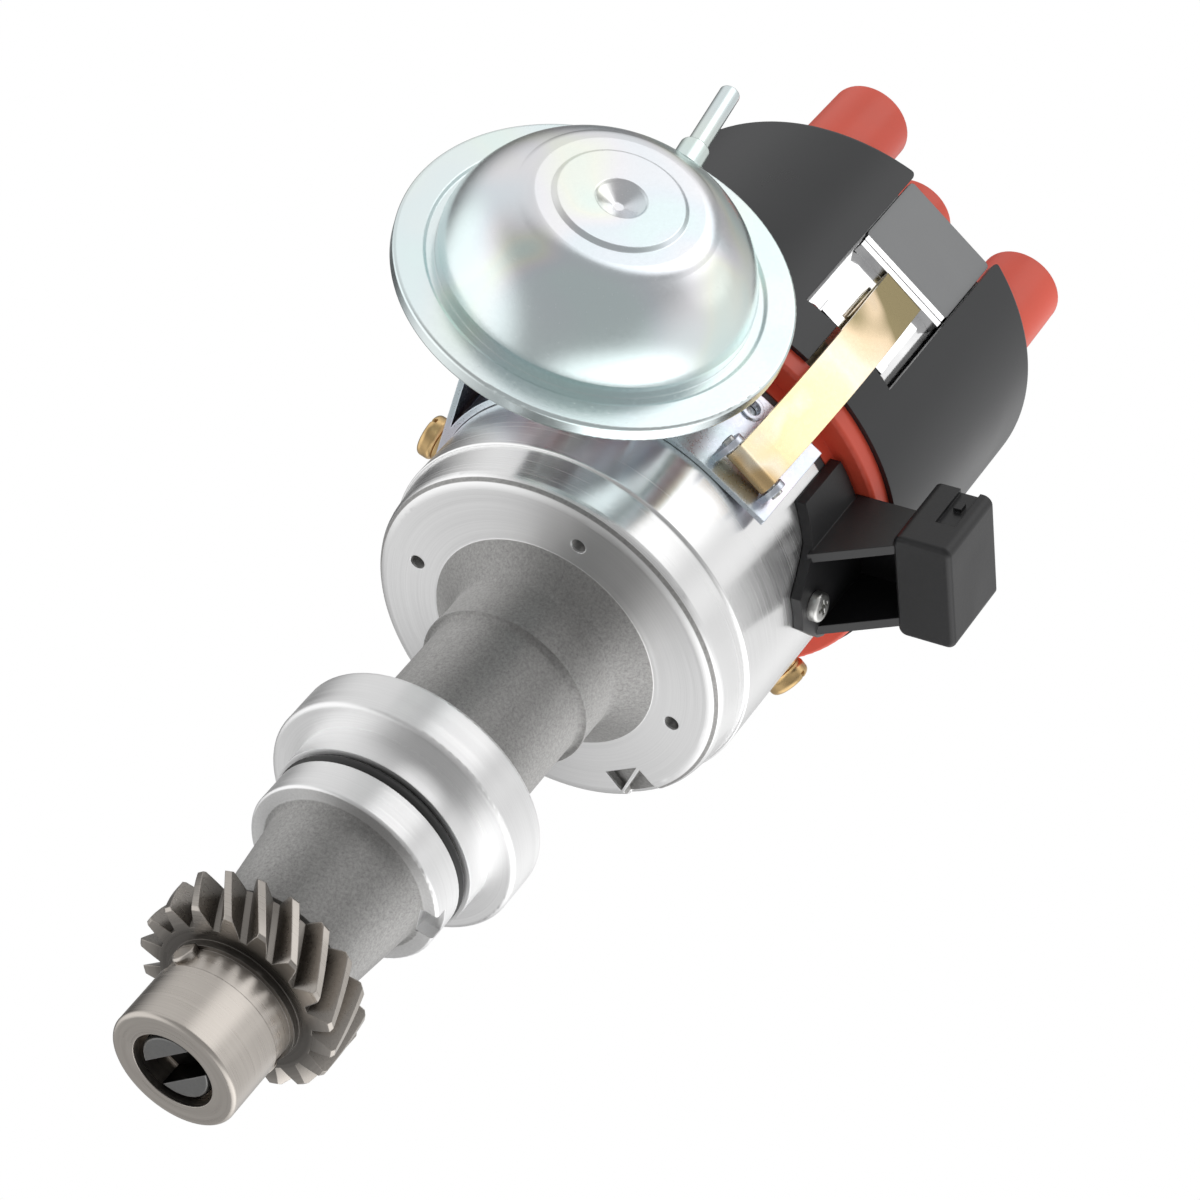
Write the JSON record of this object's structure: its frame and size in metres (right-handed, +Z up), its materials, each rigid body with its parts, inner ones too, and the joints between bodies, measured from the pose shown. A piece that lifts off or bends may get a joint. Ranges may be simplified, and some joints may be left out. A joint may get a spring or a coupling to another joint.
{
  "type": "ignition distributor",
  "caption": "Engine-driven ignition distributor with helical drive gear, cast housing, vacuum advance can, Hall connector, shielded cap and spring clips.",
  "frame": {"origin": "centre of the collar's lower face, which rests on the engine block", "axes": "+Z up the shaft to the cap, vacuum can toward -Y, connector toward +X"},
  "size_m": [0.1225, 0.1227, 0.2687],
  "materials": {
    "cast_alloy": "sand cast and turned",
    "o_ring_rubber": "satin",
    "bush_bronze": "sintered",
    "gear_steel": "ground",
    "shaft_steel": "turned, oiled",
    "plate_steel": "zinc plated",
    "can_zinc": "bright zinc, faint rainbow",
    "clip_zinc": "yellow zinc",
    "screw_zinc": "yellow zinc",
    "cap_plastic": "moulded, satin",
    "shield_plastic": "moulded, satin",
    "connector_plastic": "moulded, fine grain",
    "inner_plastic": "moulded",
    "rotor_plastic": "moulded",
    "screen_sheet": "bright sheet",
    "panel_sheet": "flat grey",
    "contact_brass": "bright",
    "carbon": "pressed carbon",
    "diaphragm_rubber": "matt",
    "felt": "felt"
  },
  "bodies": {
    "body": {"housing": "cast_alloy", "o_ring": "o_ring_rubber", "lower_bush": "bush_bronze", "upper_bush": "bush_bronze", "shaft_seal": "o_ring_rubber", "bearing_plate": "plate_steel", "dust_cover": "inner_plastic", "vacuum_bracket": "can_zinc", "vacuum_rear_shell": "can_zinc", "vacuum_front_shell": "can_zinc", "diaphragm": "diaphragm_rubber", "vacuum_spring": "plate_steel", "hose_nipple": "can_zinc", "plate_screws": "screw_zinc", "lock_washers": "screw_zinc", "hall_connector": "connector_plastic", "connector_pins": "contact_brass", "connector_screw": "plate_steel", "clip_pins": "plate_steel", "rear_clip_bracket": "can_zinc", "bracket_rivets": "plate_steel"},
    "drive": {"drive_shaft": "shaft_steel", "drive_gear": "gear_steel", "gear_pin": "gear_steel", "thrust_washer": "plate_steel", "upper_shim": "plate_steel", "weight_carrier": "plate_steel", "weight_springs": "plate_steel", "felt_wick": "felt"},
    "weight_a": {"weight_a": "plate_steel"},
    "weight_b": {"weight_b": "plate_steel"},
    "rotor": {"cam_sleeve": "plate_steel", "trigger_wheel": "plate_steel", "trigger_clip": "plate_steel", "rotor_arm": "rotor_plastic", "rotor_contact": "contact_brass", "rotor_resistor": "inner_plastic"},
    "sensor_plate": {"hall_plate": "plate_steel", "hall_sensor": "inner_plastic"},
    "rod": {"pull_rod": "plate_steel"},
    "clip_front": {"clip_front": "clip_zinc"},
    "clip_rear": {"clip_rear": "clip_zinc"},
    "cap": {"cap": "cap_plastic", "electrodes": "contact_brass", "centre_terminal": "contact_brass", "brush_spring": "contact_brass", "cap_screen": "screen_sheet", "clip_panels": "panel_sheet", "cap_shield": "shield_plastic"},
    "brush": {"carbon_brush": "carbon"}
  },
  "joints": [
    {"name": "shaft_turn", "type": "hinge", "parent": "body", "child": "drive", "pos_m": [0, 0, 0], "axis": [0, 0, 1], "continuous": true},
    {"name": "advance", "type": "hinge", "parent": "drive", "child": "rotor", "pos_m": [0, 0, 0], "axis": [0, 0, 1], "range_deg": [0, 13], "stiffness_Nm_per_rad": 0.2, "springref_deg": -2.86, "deforming": ["weight_springs"]},
    {"name": "weight_a_swing", "type": "hinge", "parent": "drive", "child": "weight_a", "pos_m": [0.019, 0, 0.065], "axis": [0, 0, 1], "range_deg": [-10, 0]},
    {"name": "weight_b_swing", "type": "hinge", "parent": "drive", "child": "weight_b", "pos_m": [-0.019, 0, 0.065], "axis": [0, 0, 1], "range_deg": [-10, 0]},
    {"name": "vacuum_advance", "type": "hinge", "parent": "body", "child": "sensor_plate", "pos_m": [0, 0, 0.0775], "axis": [0, 0, 1], "range_deg": [0, 10]},
    {"name": "rod_pull", "type": "slide", "parent": "body", "child": "rod", "axis": [0, -1, 0], "range_m": [0, 0.004], "stiffness_N_per_m": 900, "springref_m": -0.002, "deforming": ["vacuum_spring", "diaphragm"]},
    {"name": "clip_front_open", "type": "hinge", "parent": "body", "child": "clip_front", "pos_m": [0.01733, -0.03892, 0.0804], "axis": [0.9135, 0.4067, 0], "range_deg": [0, 35]},
    {"name": "clip_rear_open", "type": "hinge", "parent": "body", "child": "clip_rear", "pos_m": [-0.01733, 0.03892, 0.0804], "axis": [-0.9135, -0.4067, 0], "range_deg": [0, 35]},
    {"name": "cap_lift", "type": "slide", "parent": "body", "child": "cap", "axis": [0, 0, 1], "range_m": [0, 0.025]},
    {"name": "brush_push", "type": "slide", "parent": "cap", "child": "brush", "axis": [0, 0, 1], "range_m": [0, 0.001], "stiffness_N_per_m": 150, "springref_m": -0.002, "deforming": ["brush_spring"]}
  ],
  "couplings": [
    {"joint": "weight_a_swing", "follows": "advance", "ratio": -0.75},
    {"joint": "weight_b_swing", "follows": "advance", "ratio": -0.75},
    {"joint": "vacuum_advance", "follows": "rod_pull", "rad_per_m": 43.554},
    {"joint": "clip_front_open", "follows": "cap_lift", "rad_per_m": 24.434},
    {"joint": "clip_rear_open", "follows": "cap_lift", "rad_per_m": 24.434}
  ]
}
